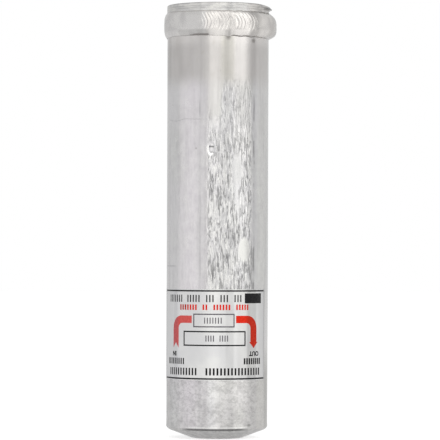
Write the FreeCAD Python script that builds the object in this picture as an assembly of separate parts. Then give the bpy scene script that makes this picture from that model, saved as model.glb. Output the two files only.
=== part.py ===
import FreeCAD, Part
import math
import os

# Receiver drier for a vehicle air-conditioning circuit, as it stands on its port face.
# Lengths are in millimetres and angles in degrees. Z runs from the port face to the welded cap,
# the inlet is at -X, the outlet at +X, and label and weld angles run from -Y towards +X.

# Can with its port head, drawn in one piece
can_radius = 30.0
can_wall = 2.0
can_length = 243.5
head_depth = 20.0
floor_rounding = 3.0
foot_radius = 14.8
foot_rounding = 2.5
shoulder_height = 5.6
shoulder_rounding = 1.4
weld_land = 0.6
weld_seat_cut = 0.5

# Ports and fixing hole in the head
port_spacing = 15.0
port_radius = 5.0
port_depth = 9.0
port_lead = 0.9
inlet_passage_radius = 3.4
bolt_offset = 9.5
bolt_core_radius = 2.5
bolt_hole_depth = 12.0
bolt_lead = 0.6

# Cap that closes the other end
cap_step = 0.2
cap_height = 12.0
cap_plate = 5.0
cap_edge_rounding = 0.7
cap_dish_depth = 1.4
cap_dish_radius = 22.0
spigot_length = 7.5
spigot_wall = 2.8
spigot_clearance = 0.1
turning_groove_depth = 0.15
turning_groove_pitch = 1.25
turning_groove_count = 2
lip_width = 0.8
lip_offset = 0.9
lip_thickness = 1.1
lip_below_top = 2.6

# Weld bead round the joint, with its end laid over its start
weld_height_below = 7.6
weld_height_above = 7.6
weld_height_change = 0.6
weld_proud = 1.95
weld_clearance = 0.03
ripple_pitch = 2.3
ripple_depth = 0.22
ripple_bulge = 2.3
overlap_rise = 2.7
overlap_start_angle = 16.0
overlap_end_angle = 172.0

# Foil label
label_low = 34.9
label_height = 53.1
label_thickness = 0.08
label_left_angle = -86.0
label_right_angle = 67.0

# Pick-up tube from the sump to the outlet, and its seal
tube_radius = 4.0
tube_wall = 1.0
tube_seat_land = 3.0
tube_clearance = 0.05
tube_mouth_gap = 12.5
tube_collar_radius = 6.6
tube_collar_height = 1.6
seal_section_radius = 0.9
seal_clearance = 0.03

# Filter and desiccant pack, in order from the head
spring_height = 25.0
spring_wire_radius = 1.25
spring_mean_radius = 21.5
spring_turns = 4.0
plate_thickness = 1.5
plate_clearance = 0.2
plate_hole_radius = 2.6
plate_hole_pitch = 10.0
plate_rim_height = 6.0
screen_thickness = 0.4
screen_wire = 1.0
screen_pitch = 6.0
pad_thickness = 6.0
bed_depth = 70.0
fill_clearance = 0.3
tube_hole_clearance = 0.3
clip_thickness = 0.6
clip_radius = 8.5
clip_teeth = 6

# Strainer at the mouth of the tube
strainer_length = 24.0
strainer_radius = 7.0
strainer_ribs = 4
strainer_rib_width = 1.6
strainer_end_thickness = 2.0
strainer_mesh_radius = 6.0
strainer_mesh_thickness = 0.3

# Places that follow from the sizes
bore_radius = can_radius - can_wall
cap_radius = can_radius + cap_step
lip_radius = cap_radius + lip_width
rim_radius = can_radius - weld_seat_cut
land_radius = bore_radius + weld_land
groove_depth = rim_radius - land_radius
weld_seat_z = can_length - weld_height_below - weld_height_change - weld_clearance
cap_top = can_length + cap_height
ceiling = cap_top - cap_plate
inlet_x = -port_spacing / 2
outlet_x = port_spacing / 2
tube_foot = port_depth + tube_seat_land
tube_top = ceiling - tube_mouth_gap
seal_depth = 2 * seal_section_radius
inlet_plate_z = head_depth + spring_height
inlet_screen_z = inlet_plate_z + plate_thickness
inlet_pad_z = inlet_screen_z + screen_thickness
bed_z = inlet_pad_z + pad_thickness
outlet_pad_z = bed_z + bed_depth
outlet_screen_z = outlet_pad_z + pad_thickness
outlet_plate_z = outlet_screen_z + screen_thickness
clip_z = outlet_plate_z + plate_thickness
strainer_z = tube_top + tube_mouth_gap / 2 - strainer_length
tube_hole_radius = tube_radius + tube_hole_clearance
pack_radius = bore_radius - plate_clearance
fill_radius = bore_radius - fill_clearance

UP = FreeCAD.Vector(0, 0, 1)
ORIGIN = FreeCAD.Vector(0, 0, 0)


def rounded_face(corners):
    """Face in the XZ plane from (x, z, radius) corners, each with a tangent arc of its radius."""
    places = [FreeCAD.Vector(x, 0, z) for x, z, _ in corners]
    starts = []
    ends = []
    arcs = []
    for i, here in enumerate(places):
        radius = corners[i][2]
        back = (places[i - 1] - here).normalize()
        ahead = (places[(i + 1) % len(places)] - here).normalize()
        if radius == 0:
            starts.append(here)
            ends.append(here)
            arcs.append(None)
            continue
        half_angle = back.getAngle(ahead) / 2
        reach = radius / math.tan(half_angle)
        inward = (back + ahead).normalize()
        starts.append(here + back * reach)
        ends.append(here + ahead * reach)
        middle = here + inward * (radius / math.sin(half_angle) - radius)
        arcs.append(Part.Arc(starts[i], middle, ends[i]).toShape())
    edges = []
    for i in range(len(places)):
        if arcs[i] is not None:
            edges.append(arcs[i])
        following = starts[(i + 1) % len(places)]
        edges.append(Part.makeLine(ends[i], following))
    return Part.Face(Part.Wire(edges))


def turned(corners):
    """Solid of revolution about Z from (radius, z, rounding) corners."""
    return rounded_face(corners).revolve(ORIGIN, UP, 360)


def cylinder(x, y, low, high, radius):
    return Part.makeCylinder(radius, high - low, FreeCAD.Vector(x, y, low), UP)


def ring(low, high, inner, outer, x=0.0):
    return cylinder(x, 0, low, high, outer).cut(cylinder(x, 0, low, high, inner))


def lead_in(x, y, radius, depth):
    """Conical mouth of a hole in the port face."""
    return Part.makeCone(radius + depth, radius, depth, FreeCAD.Vector(x, y, 0), UP)


def skinned(sections, joined):
    """Solid skinned over closed sections, joined in a ring or with flat ends."""
    following = sections[1:]
    faces = []
    if joined:
        following = following + sections[:1]
    else:
        for end in (sections[0], sections[-1]):
            faces.append(Part.Face(Part.makePolygon(end + end[:1])))
    for here, ahead in zip(sections, following):
        for i in range(len(here)):
            side = Part.makeLine(here[i - 1], here[i])
            next_side = Part.makeLine(ahead[i - 1], ahead[i])
            faces.append(Part.makeRuledSurface(side, next_side))
    shell = Part.makeShell(faces)
    shell.sewShape()
    solid = Part.makeSolid(shell)
    if solid.Volume < 0:
        solid.reverse()
    return solid


def can_body():
    side = turned([
        (0, 0, 0),
        (foot_radius, 0, foot_rounding),
        (can_radius, shoulder_height, shoulder_rounding),
        (can_radius, weld_seat_z - weld_seat_cut, 0),
        (rim_radius, weld_seat_z, 0),
        (rim_radius, can_length - groove_depth, 0),
        (land_radius, can_length, 0),
        (bore_radius, can_length, 0),
        (bore_radius, head_depth, floor_rounding),
        (0, head_depth, 0),
    ])
    holes = [
        cylinder(inlet_x, 0, 0, port_depth, port_radius),
        lead_in(inlet_x, 0, port_radius, port_lead),
        cylinder(inlet_x, 0, port_depth, head_depth, inlet_passage_radius),
        cylinder(outlet_x, 0, 0, port_depth, port_radius),
        lead_in(outlet_x, 0, port_radius, port_lead),
        cylinder(outlet_x, 0, port_depth, tube_foot, tube_radius - tube_wall),
        cylinder(outlet_x, 0, tube_foot, head_depth, tube_radius + tube_clearance),
        cylinder(outlet_x, 0, head_depth - seal_depth, head_depth, seal_seat_radius()),
        cylinder(0, bolt_offset, 0, bolt_hole_depth, bolt_core_radius),
        lead_in(0, bolt_offset, bolt_core_radius, bolt_lead),
    ]
    return side.cut(holes)


def end_cap():
    """Turned cap: outer band, shallow dish, spigot in the can, two tool marks and a rolled lip."""
    spigot_radius = bore_radius - spigot_clearance
    inside_radius = spigot_radius - spigot_wall
    spigot_low = can_length - spigot_length
    groove_rise = cap_radius - land_radius
    body = turned([
        (0, ceiling, 0),
        (inside_radius, ceiling, spigot_wall),
        (inside_radius, spigot_low, 0),
        (spigot_radius, spigot_low, spigot_wall / 4),
        (spigot_radius, can_length, 0),
        (land_radius, can_length, 0),
        (cap_radius, can_length + groove_rise, 0),
        (cap_radius, cap_top, cap_edge_rounding),
        (cap_dish_radius + cap_dish_depth, cap_top, 0),
        (cap_dish_radius, cap_top - cap_dish_depth, 0),
        (0, cap_top - cap_dish_depth, 0),
    ])
    for index in range(turning_groove_count):
        groove_z = cap_top - (index + 1) * turning_groove_pitch
        body = body.cut(turned([
            (cap_radius - turning_groove_depth, groove_z, 0),
            (cap_radius + turning_groove_depth, groove_z - 2 * turning_groove_depth, 0),
            (cap_radius + turning_groove_depth, groove_z + 2 * turning_groove_depth, 0),
        ]))
    lip_z = cap_top - lip_below_top
    lip = turned([
        (cap_dish_radius, lip_z - lip_thickness / 2, 0),
        (lip_radius - lip_thickness, lip_z - lip_thickness / 2, 0),
        (lip_radius, lip_z, 0),
        (lip_radius - lip_thickness, lip_z + lip_thickness / 2, 0),
        (cap_dish_radius, lip_z + lip_thickness / 2, 0),
    ])
    lip.translate(FreeCAD.Vector(lip_offset, 0, 0))
    return body.fuse(lip)


def weld_overlap(angle):
    """Rise of the bead where its end lies over its start, for an angle from the front."""
    if angle < overlap_start_angle or angle > overlap_end_angle:
        return 0.0
    return overlap_rise * math.sin(math.radians(angle))


def round_the_axis(radius, angle, z):
    turn = math.radians(angle)
    return FreeCAD.Vector(radius * math.sin(turn), -radius * math.cos(turn), z)


def weld_section(angle, sink):
    """Closed section of the bead at an angle: the proud side, then the root in the groove."""
    low = weld_height_below + weld_height_change * math.sin(math.radians(angle))
    high = weld_height_above - weld_height_change * math.cos(math.radians(angle))
    under = rim_radius + weld_clearance
    over = cap_radius + weld_clearance
    bulge = math.degrees(ripple_bulge / can_radius)
    steps = 6
    section = []
    for step in range(steps + 1):
        share = math.sin(math.pi * (step / steps - 0.5))
        z = can_length + share * (low if share < 0 else high)
        face = under + (over - under) * (share + 1) / 2
        proud = weld_proud + can_radius - face - sink
        lump = weld_overlap(angle) * (1 - abs(share) ** (6.0 if share < 0 else 2.4))
        radius = face + proud * (1 - abs(share) ** 4) + lump
        section.append(round_the_axis(radius, angle + bulge * (1 - share ** 2), z))
    cap_side = cap_radius - land_radius
    section.append(round_the_axis(over, angle, can_length + cap_side))
    section.append(round_the_axis(land_radius + weld_clearance, angle, can_length))
    section.append(round_the_axis(under, angle, can_length - groove_depth))
    return section


def weld_bead():
    """Bead skinned through two sections for each ripple, a hollow and a crest."""
    ripples = round(2 * math.pi * can_radius / ripple_pitch)
    turn = 360.0 / ripples
    sections = []
    for ripple in range(ripples):
        sections.append(weld_section(ripple * turn - 180, ripple_depth))
        sections.append(weld_section((ripple + 0.6) * turn - 180, 0.0))
    return skinned(sections, True)


def label():
    foil = Part.Face(Part.makePolygon([
        FreeCAD.Vector(can_radius, 0, label_low),
        FreeCAD.Vector(can_radius + label_thickness, 0, label_low),
        FreeCAD.Vector(can_radius + label_thickness, 0, label_low + label_height),
        FreeCAD.Vector(can_radius, 0, label_low + label_height),
        FreeCAD.Vector(can_radius, 0, label_low),
    ]))
    foil.rotate(ORIGIN, UP, label_left_angle - 90)
    return foil.revolve(ORIGIN, UP, label_right_angle - label_left_angle)


def seal_seat_radius():
    return tube_radius + 2 * seal_section_radius + 3 * seal_clearance


def tube_seal():
    centre = FreeCAD.Vector(outlet_x, 0, head_depth - seal_section_radius)
    mean_radius = tube_radius + seal_clearance + seal_section_radius
    return Part.makeTorus(mean_radius, seal_section_radius - seal_clearance / 2, centre, UP)


def pickup_tube():
    """Tube with a formed collar that stands on the floor of the head, over the seal."""
    inner_radius = tube_radius - tube_wall
    tube = turned([
        (inner_radius, tube_foot, 0),
        (tube_radius, tube_foot, 0),
        (tube_radius, head_depth, 0),
        (tube_collar_radius, head_depth, 0),
        (tube_collar_radius, head_depth + tube_collar_height / 2, 0),
        (tube_radius, head_depth + tube_collar_height, 0),
        (tube_radius, tube_top, 0),
        (inner_radius, tube_top, 0),
    ])
    tube.translate(FreeCAD.Vector(outlet_x, 0, 0))
    return tube


def spring_section(turns):
    """Section of the wire after a number of turns, with a closed turn at each end."""
    low = head_depth + spring_wire_radius / 2
    high = inlet_plate_z - spring_wire_radius / 2
    closed_rise = 2 * spring_wire_radius
    closed_turns = min(turns, 1.0) + max(turns - spring_turns + 1, 0.0)
    share = min(max((turns - 1) / (spring_turns - 2), 0.0), 1.0)
    eased = share * share * (3 - 2 * share)
    centre_z = low + closed_rise * closed_turns + (high - low - 2 * closed_rise) * eased
    sides = 8
    section = []
    for side in range(sides):
        around = 2 * math.pi * (side + 0.5) / sides
        radius = spring_mean_radius + spring_wire_radius * math.cos(around)
        section.append(round_the_axis(radius, 360 * turns, centre_z + spring_wire_radius * math.sin(around)))
    return section


def bed_spring():
    """Compression spring with closed ends, ground flat on the floor of the head and on the plate."""
    steps_per_turn = 18
    steps = round(spring_turns * steps_per_turn)
    coil = skinned([spring_section(step * spring_turns / steps) for step in range(steps + 1)], False)
    return coil.common(cylinder(0, 0, head_depth, inlet_plate_z, bore_radius))


def tube_hole(low, high, radius):
    return cylinder(outlet_x, 0, low, high, radius)


def clear_of_tube(x, y, reach):
    """Whether a hole of a given reach leaves a web round the tube hole."""
    return math.hypot(x - outlet_x, y) > tube_hole_radius + reach + screen_wire


def hole_places(pitch, reach, outer):
    """Rows of holes in a triangular pattern, inside a radius and clear of the tube."""
    rows = int(outer / pitch) + 2
    row_gap = pitch * math.sin(math.radians(60))
    places = []
    for row in range(-rows, rows + 1):
        for column in range(-rows, rows + 1):
            x = (column + (row % 2) / 2) * pitch
            y = row * row_gap
            if math.hypot(x, y) + reach < outer and clear_of_tube(x, y, reach):
                places.append((x, y))
    return places


def perforated_disc(low):
    """Round plate with punched holes and a hole for the tube."""
    high = low + plate_thickness
    disc = cylinder(0, 0, low, high, pack_radius)
    inside = pack_radius - 2 * plate_thickness
    punched = [cylinder(x, y, low, high, plate_hole_radius)
               for x, y in hole_places(plate_hole_pitch, plate_hole_radius, inside)]
    return disc.cut(punched + [tube_hole(low, high, tube_hole_radius)])


def inlet_plate():
    return perforated_disc(inlet_plate_z)


def outlet_plate():
    """Perforated plate with a rim that is a push fit in the can."""
    rim = ring(outlet_plate_z, outlet_plate_z + plate_rim_height, pack_radius - plate_thickness, pack_radius)
    return perforated_disc(outlet_plate_z).fuse(rim).removeSplitter()


def screen(low):
    """Gauze disc: crossed wires as one sheet, with a hem and a hole for the tube."""
    high = low + screen_thickness
    disc = cylinder(0, 0, low, high, pack_radius)
    gap = screen_pitch - screen_wire
    reach = gap / math.sqrt(2)
    rows = int(pack_radius / screen_pitch) + 1
    cuts = [tube_hole(low, high, tube_hole_radius)]
    for row in range(-rows, rows + 1):
        for column in range(-rows, rows + 1):
            x = column * screen_pitch
            y = row * screen_pitch
            inside = math.hypot(x, y) + reach < pack_radius - screen_wire
            if inside and clear_of_tube(x, y, reach):
                corner = FreeCAD.Vector(x - gap / 2, y - gap / 2, low)
                cuts.append(Part.makeBox(gap, gap, screen_thickness, corner))
    return disc.cut(cuts)


def fill(low, height):
    """Soft or loose fill of the bore, with room for the tube."""
    disc = cylinder(0, 0, low, low + height, fill_radius)
    return disc.cut(tube_hole(low, low + height, tube_hole_radius))


def tube_clip():
    """Push-on ring that grips the tube with its teeth and holds the outlet plate."""
    outer = ring(clip_z, clip_z + clip_thickness, tube_radius, clip_radius, outlet_x)
    slot_width = math.pi * tube_radius / clip_teeth
    slot_end = (tube_radius + clip_radius) / 2
    slots = []
    for tooth in range(clip_teeth):
        slot = Part.makeBox(slot_end, slot_width, clip_thickness,
                            FreeCAD.Vector(0, -slot_width / 2, clip_z))
        slot.rotate(ORIGIN, UP, 360.0 * tooth / clip_teeth)
        slot.translate(FreeCAD.Vector(outlet_x, 0, 0))
        slots.append(slot)
    return outer.cut(slots)


def strainer_frame():
    """Cage with a collar on the tube, ribs and a closed end."""
    top = strainer_z + strainer_length
    collar_top = strainer_z + 2 * strainer_end_thickness
    frame = ring(strainer_z, collar_top, tube_radius + tube_clearance, strainer_radius, outlet_x)
    frame = frame.fuse(cylinder(outlet_x, 0, top - strainer_end_thickness, top, strainer_radius))
    mesh_outer = strainer_mesh_radius + tube_clearance
    for rib_index in range(strainer_ribs):
        rib = Part.makeBox(strainer_radius, strainer_rib_width, top - collar_top,
                           FreeCAD.Vector(0, -strainer_rib_width / 2, collar_top))
        rib.rotate(ORIGIN, UP, 360.0 * rib_index / strainer_ribs)
        rib.translate(FreeCAD.Vector(outlet_x, 0, 0))
        cage = ring(collar_top, top, mesh_outer, strainer_radius, outlet_x)
        frame = frame.fuse(rib.common(cage))
    return frame.removeSplitter()


def strainer_screen():
    """Fine mesh sleeve inside the cage."""
    low = strainer_z + 2 * strainer_end_thickness
    high = strainer_z + strainer_length - strainer_end_thickness
    return ring(low, high, strainer_mesh_radius - strainer_mesh_thickness, strainer_mesh_radius, outlet_x)


pieces = {
    "can_body": can_body(),
    "end_cap": end_cap(),
    "weld_bead": weld_bead(),
    "label": label(),
    "pickup_tube": pickup_tube(),
    "tube_seal": tube_seal(),
    "bed_spring": bed_spring(),
    "inlet_plate": inlet_plate(),
    "inlet_screen": screen(inlet_screen_z),
    "inlet_pad": fill(inlet_pad_z, pad_thickness),
    "desiccant_bed": fill(bed_z, bed_depth),
    "outlet_pad": fill(outlet_pad_z, pad_thickness),
    "outlet_screen": screen(outlet_screen_z),
    "outlet_plate": outlet_plate(),
    "tube_clip": tube_clip(),
    "strainer_frame": strainer_frame(),
    "strainer_screen": strainer_screen(),
}

os.makedirs("parts", exist_ok=True)
for name, shape in pieces.items():
    shape.exportStep("parts/" + name + ".step")
    print(name, "solids", len(shape.Solids), "valid", shape.isValid(), "volume", round(shape.Volume, 1))
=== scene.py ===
import bmesh
import bpy
import math
from mathutils import Matrix, Vector, noise


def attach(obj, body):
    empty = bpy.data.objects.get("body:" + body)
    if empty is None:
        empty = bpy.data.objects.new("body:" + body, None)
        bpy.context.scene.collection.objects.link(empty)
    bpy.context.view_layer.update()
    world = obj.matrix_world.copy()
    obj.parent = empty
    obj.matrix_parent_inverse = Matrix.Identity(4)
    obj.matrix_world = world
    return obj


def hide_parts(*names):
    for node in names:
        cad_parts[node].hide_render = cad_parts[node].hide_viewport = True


# Receiver drier that stands on its port face. Pieces are modelled in millimetres and settled in metres.
# Angles run round the axis from the front (-Y), positive towards the outlet side (+X).

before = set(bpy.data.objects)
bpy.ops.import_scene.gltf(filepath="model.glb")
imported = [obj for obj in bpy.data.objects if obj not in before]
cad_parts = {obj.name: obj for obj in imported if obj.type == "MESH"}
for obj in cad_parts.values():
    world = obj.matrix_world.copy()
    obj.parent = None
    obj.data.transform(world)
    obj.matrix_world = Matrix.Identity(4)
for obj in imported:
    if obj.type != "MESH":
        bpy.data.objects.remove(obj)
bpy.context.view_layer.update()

MM = 0.001

# Can, in the sizes of the solid that it stands for
can_radius = 30.0
bore_radius = 28.0
can_length = 243.5
head_depth = 20.0
floor_radius = 20.0
floor_rounding = 3.0
shoulder_height = 5.6
shoulder_reach = 2.0
face_radius = 14.0
foot_radius = 14.8
foot_chamfer = 0.44
rim_chamfer = 1.4
land_radius = 28.6
can_columns = 256
row_pitch = 1.15

# Ring dent in the wall
dent_angle = math.radians(-7.3)
dent_z = 169.9
dent_width = 1.9
dent_height = 3.2
dent_depth = 0.25
dent_ring = 0.9
dent_soft = 0.3
dent_reach = 4.5

# Waves of the drawn wall: their range, where they get shallow, and depths of the long and the short ones
waves_low = 8
waves_high = 236
shallow_from = 214
shallow_over = 12
long_depth = 0.035
short_depth = 0.02

# Heights of the wall's zones, in metres: the smooth band, its part under the weld, and the foot's parts,
# among them the painted highlight and the painted shade line at the shoulder
band_start = (0.208, 0.212)
band_blend = (0.202, 0.216)
under_weld = (0.2280, 0.2350)
foot_top = (0.034, 0.058)
shoulder_highlight = (0.0069, 0.0077)
cone_top = (0.0058, 0.0066)
shoulder_line = (0.0055, 0.0067)

# Oval marks on the wall: angle, height, half width and half height
rubbed_spot = (math.radians(31.5), 111, 4.2, 8.0)
slanted_smear = (math.radians(21), 145, 1.6, 17)
broad_smear = (math.radians(22.2), 157.5, 3.9, 10.5)
corner_stain = (math.radians(38.5), 8.6, 2.2, 1.3)
band_stain = (math.radians(43.8), 233.4, 2.2, 1.9)
small_stain = (math.radians(11.7), 235.7, 2.3, 3.2)

# Angles where what is seen at a side starts to fade towards the back, and where it is gone
side_angle = 1.6
back_angle = 2.9

# Painted reflections and shade on the metals, as lighter and darker upright zones: first and last angle, soft
# width and factor
upper_painted_light = (
    (-0.66, -0.38, 0.05, 0.94),
    (-0.20, -0.08, 0.03, 0.91),
    (0.04, 0.16, 0.03, 1.16),
    (0.34, 0.62, 0.06, 0.83),
    (0.62, 0.70, 0.03, 1.06),
)
band_painted_light = (
    (-1.7, -1.16, 0.06, 0.86),
    (-0.31, -0.20, 0.03, 1.10),
    (0.05, 0.12, 0.03, 1.08),
    (0.22, 0.35, 0.03, 1.10),
    (0.61, 0.68, 0.03, 1.11),
    (0.74, 0.84, 0.06, 0.93),
    (0.84, 1.7, 0.06, 1.06),
)
foot_painted_light = (
    (-1.7, -0.85, 0.25, 0.92),
    (-1.08, -0.90, 0.05, 1.10),
    (-0.74, -0.45, 0.05, 0.94),
    (-0.25, 0.62, 0.14, 1.16),
    (-0.15, 0.22, 0.04, 1.12),
    (0.62, 0.84, 0.04, 1.06),
    (0.80, 1.7, 0.08, 0.93),
    (1.18, 2.0, 0.08, 0.76),
    (-2.0, -1.32, 0.08, 0.80),
)
bead_painted_light = (
    (-0.75, -0.32, 0.05, 0.94),
    (-0.28, 0.62, 0.05, 1.12),
    (-0.14, 0.03, 0.03, 1.07),
    (0.19, 0.245, 0.02, 0.84),
    (0.61, 0.80, 0.04, 0.78),
    (0.86, 1.05, 0.04, 1.12),
    (1.18, 1.7, 0.06, 0.93),
)
lower_bead_painted_light = (
    (-0.85, -0.18, 0.05, 0.81),
    (-0.40, -0.18, 0.04, 0.86),
    (0.13, 0.235, 0.03, 0.80),
    (0.31, 0.60, 0.04, 1.24),
    (0.95, 1.7, 0.05, 0.88),
)
cap_painted_light = (
    (-1.20, -0.86, 0.05, 0.93),
    (-0.84, -0.52, 0.05, 1.05),
    (-0.33, -0.21, 0.03, 1.20),
    (0.05, 0.17, 0.03, 1.17),
    (0.34, 0.55, 0.04, 0.84),
    (0.62, 0.76, 0.04, 1.06),
    (0.86, 1.03, 0.04, 0.84),
)
foil_painted_light = (
    (-1.7, -1.01, 0.05, 0.90),
    (-0.82, 0.30, 0.08, 1.07),
    (0.17, 0.33, 0.03, 0.89),
    (0.40, 0.70, 0.05, 0.88),
    (0.93, 1.5, 0.05, 0.93),
    (1.10, 1.5, 0.02, 0.88),
    (1.147, 1.5, 0.008, 0.62),
    (-1.00, -0.88, 0.03, 0.86),
    (0.62, 0.86, 0.03, 0.80),
    (-1.7, -1.38, 0.05, 0.80),
)

# Ports in the head
inlet_x = -7.5
outlet_x = 7.5
port_radius = 5.0
port_lead_in = 0.9
port_depth = 9.0
passage_radius = 3.4
tube_hole_radius = 3.0
tube_seat_z = 12.0
tube_seat_radius = 4.05
seal_seat_radius = 5.89
seal_seat_z = 18.2
bolt_y = 9.5
bolt_radius = 2.5
bolt_lead_in = 0.6
bolt_depth = 12.0
thread_turns = 10
thread_depth = 0.42
thread_end = 10.8

# Cap
cap_radius = 30.2
cap_top = 255.5
cap_chamfer = 1.6
ceiling = 250.5
spigot_radius = 27.9
spigot_bore = 25.1
spigot_low = 236.0
groove_z = 254.0
groove_depth = 0.1
groove_reach = 0.2
rim_inside = 27.0
dish_radius = 22.0
dish_depth = 1.4
lip_z = 253.2
lip_top = 255.6
lip_under = 0.8
lip_reach = 1.75
rim_drop = 0.5
lip_angle = math.radians(84)
lip_spread = math.radians(38)

# Weld bead. Its share runs from -1 at the lower edge to 1 at the upper edge, and is 5 on the hidden root
bead_columns = 1000
bead_rows = 36
bead_height = 7.6
bead_change = 0.6
low_extra = 0.15
low_change = 0.35
bead_proud = 1.95
ripple_count = 100
ripple_depth = 0.24
ripple_bulge = 3.5
ripple_crest = 0.3
deep_from = -0.37
deep_to = 0.74
overlap_rise = 2.7
overlap_ramp = 0.09
overlap_start = math.radians(13)
overlap_end = math.radians(172)
root_low = 242.1
root_top = 245.1
root_gap = 0.03
root_share = 5.0

# Reflection of the bare metals at a grazing angle
edge_tint = (0.8, 0.8, 0.8)

# Label
label_low = 34.9
label_height = 53.1
foil_radius = 30.08
label_left = math.radians(-86)
label_right = math.radians(67)
bend_step = 0.8
ink_low = foil_radius - 0.01
ink_high = foil_radius + 0.03

# Print, in millimetres along the arc from the front and up the can. Boxes: left, low, width, height, line
line_left = math.radians(-79)
line_right = math.radians(65)
line_places = (35.4, 86.6)
line_width = 0.9
dark_block = (17.0, 79.8, 13.6, 5.8)
lower_box = (-21.2, 54.9, 38.8, 8.8, 0.8)
upper_box = (-14.4, 65.8, 24.8, 8.0, 0.7)
word_low = 49.0
word_height = 2.6
port_words = (("IN", -29.1), ("OUT", 24.2))

# Rows of ticks: left, right, low, height, ticks in each group, and width of a tick
black_rows = (
    (-34.6, 15.2, 80.5, 4.2, (7, 5, 3, 3, 3), 0.75),
    (-34.6, -11.7, 37.9, 4.2, (11,), 1.0),
    (-7.2, 29.3, 37.9, 4.2, (17,), 1.1),
    (-36.5, -20.4, 44.2, 3.6, (9,), 0.9),
    (16.1, 30.0, 44.2, 3.6, (8,), 1.1),
)
grey_rows = (
    (-8.1, 3.2, 68.0, 3.5, (7,), 0.6),
    (-7.2, 6.9, 57.6, 3.5, (4, 4), 0.6),
)
red_row = (-24.3, 19.9, 75.9, 3.2, (7, 2, 6, 5), 1.0)


class Finish:
    """Finish of a surface, made of nodes over the piece's Object coordinates."""

    def __init__(self, name, colour, metallic, roughness):
        self.material = bpy.data.materials.new(name)
        self.material.use_nodes = True
        self.tree = self.material.node_tree
        self.shader = self.tree.nodes["Principled BSDF"]
        self.set("Metallic", metallic)
        self.set("Roughness", roughness)
        self.set("Base Color", colour)
        if metallic > 0.5:
            self.set("Specular Tint", edge_tint)
        self.place = self.add("ShaderNodeTexCoord").outputs["Object"]
        split = self.add("ShaderNodeSeparateXYZ")
        self.tree.links.new(self.place, split.inputs[0])
        self.x, self.y, self.z = split.outputs
        self.angle = self.calc("ARCTAN2", self.x, self.calc("MULTIPLY", self.y, -1.0))

    def add(self, kind, **settings):
        node = self.tree.nodes.new(kind)
        for key, value in settings.items():
            setattr(node, key, value)
        return node

    def plug(self, value, socket):
        if isinstance(value, bpy.types.NodeSocket):
            self.tree.links.new(value, socket)
        elif isinstance(value, tuple) and len(value) == 3 and socket.type == "RGBA":
            socket.default_value = (*value, 1.0)
        else:
            socket.default_value = value

    def set(self, name, value):
        self.plug(value, self.shader.inputs[name])

    def grain(self, stretch, detail=2.0, rough=0.5, warp=0.0):
        """Noise with its own number of marks per metre along x, y and z."""
        mapping = self.add("ShaderNodeMapping")
        self.plug(self.place, mapping.inputs["Vector"])
        mapping.inputs["Scale"].default_value = stretch
        texture = self.add("ShaderNodeTexNoise")
        self.plug(mapping.outputs[0], texture.inputs["Vector"])
        texture.inputs["Scale"].default_value = 1.0
        texture.inputs["Detail"].default_value = detail
        texture.inputs["Roughness"].default_value = rough
        texture.inputs["Distortion"].default_value = warp
        return texture.outputs["Fac"]

    def waves(self, value, pitch):
        """Noise along one value, such as turned rings along a height."""
        texture = self.add("ShaderNodeTexNoise", noise_dimensions="1D")
        self.plug(self.calc("DIVIDE", value, pitch), texture.inputs["W"])
        texture.inputs["Scale"].default_value = 1.0
        texture.inputs["Detail"].default_value = 2.0
        return texture.outputs["Fac"]

    def cells(self, stretch):
        """Distance to the nearest of many scattered dots."""
        mapping = self.add("ShaderNodeMapping")
        self.plug(self.place, mapping.inputs["Vector"])
        mapping.inputs["Scale"].default_value = stretch
        texture = self.add("ShaderNodeTexVoronoi")
        self.plug(mapping.outputs[0], texture.inputs["Vector"])
        texture.inputs["Scale"].default_value = 1.0
        return texture.outputs["Distance"]

    def calc(self, operation, first, second=0.0, third=None):
        node = self.add("ShaderNodeMath", operation=operation)
        self.plug(first, node.inputs[0])
        self.plug(second, node.inputs[1])
        if third is not None:
            self.plug(third, node.inputs[2])
        return node.outputs[0]

    def both(self, *shares):
        """Product of shares, which is full only where each of them is."""
        total = shares[0]
        for share in shares[1:]:
            total = self.calc("MULTIPLY", total, share)
        return total

    def either(self, *shares):
        """The greatest of several shares."""
        total = shares[0]
        for share in shares[1:]:
            total = self.calc("MAXIMUM", total, share)
        return total

    def fade(self, value, start, end, low=0.0, high=1.0):
        """Smooth change from low to high as the value goes from start to end."""
        node = self.add("ShaderNodeMapRange", interpolation_type="SMOOTHSTEP")
        self.plug(value, node.inputs["Value"])
        for name, number in zip(("From Min", "From Max", "To Min", "To Max"), (start, end, low, high)):
            self.plug(number, node.inputs[name])
        return node.outputs["Result"]

    def between(self, value, start, end, soft, most=1.0):
        """Share that is full between two values, and fades over a soft width at each."""
        rise = self.fade(value, start - soft, start + soft, 0.0, most)
        return self.calc("MULTIPLY", rise, self.fade(value, end - soft, end + soft, 1.0, 0.0))

    def zone(self, left, right, soft=0.05):
        """Upright zone between two angles. An end past the sides fades slowly, and is gone at the back."""
        rise = (-back_angle, -side_angle) if left < -side_angle else (left - soft, left + soft)
        fall = (side_angle, back_angle) if right > side_angle else (right - soft, right + soft)
        return self.both(self.fade(self.angle, *rise), self.fade(self.angle, *fall, 1.0, 0.0))

    def oval(self, angle, z, width, height):
        """Oval mark: distance from its middle, 1 at its rim, and the places along and up from it."""
        along = self.calc("MULTIPLY", self.calc("SUBTRACT", self.angle, angle), can_radius / width)
        up = self.calc("DIVIDE", self.calc("SUBTRACT", self.z, z * MM), height * MM)
        squares = self.calc("ADD", self.calc("MULTIPLY", along, along), self.calc("MULTIPLY", up, up))
        return self.calc("SQRT", squares), along, up

    def blend(self, share, first, second, kind="MIX"):
        node = self.add("ShaderNodeMix", data_type="RGBA", blend_type=kind)
        self.plug(share, node.inputs[0])
        self.plug(first, node.inputs[6])
        self.plug(second, node.inputs[7])
        return node.outputs[2]

    def tint(self, colour, share, factor):
        """Multiplies a colour by a factor (one number or three) where the share is full."""
        if isinstance(factor, float):
            factor = (factor, factor, factor)
        return self.blend(share, colour, factor, "MULTIPLY")

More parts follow.
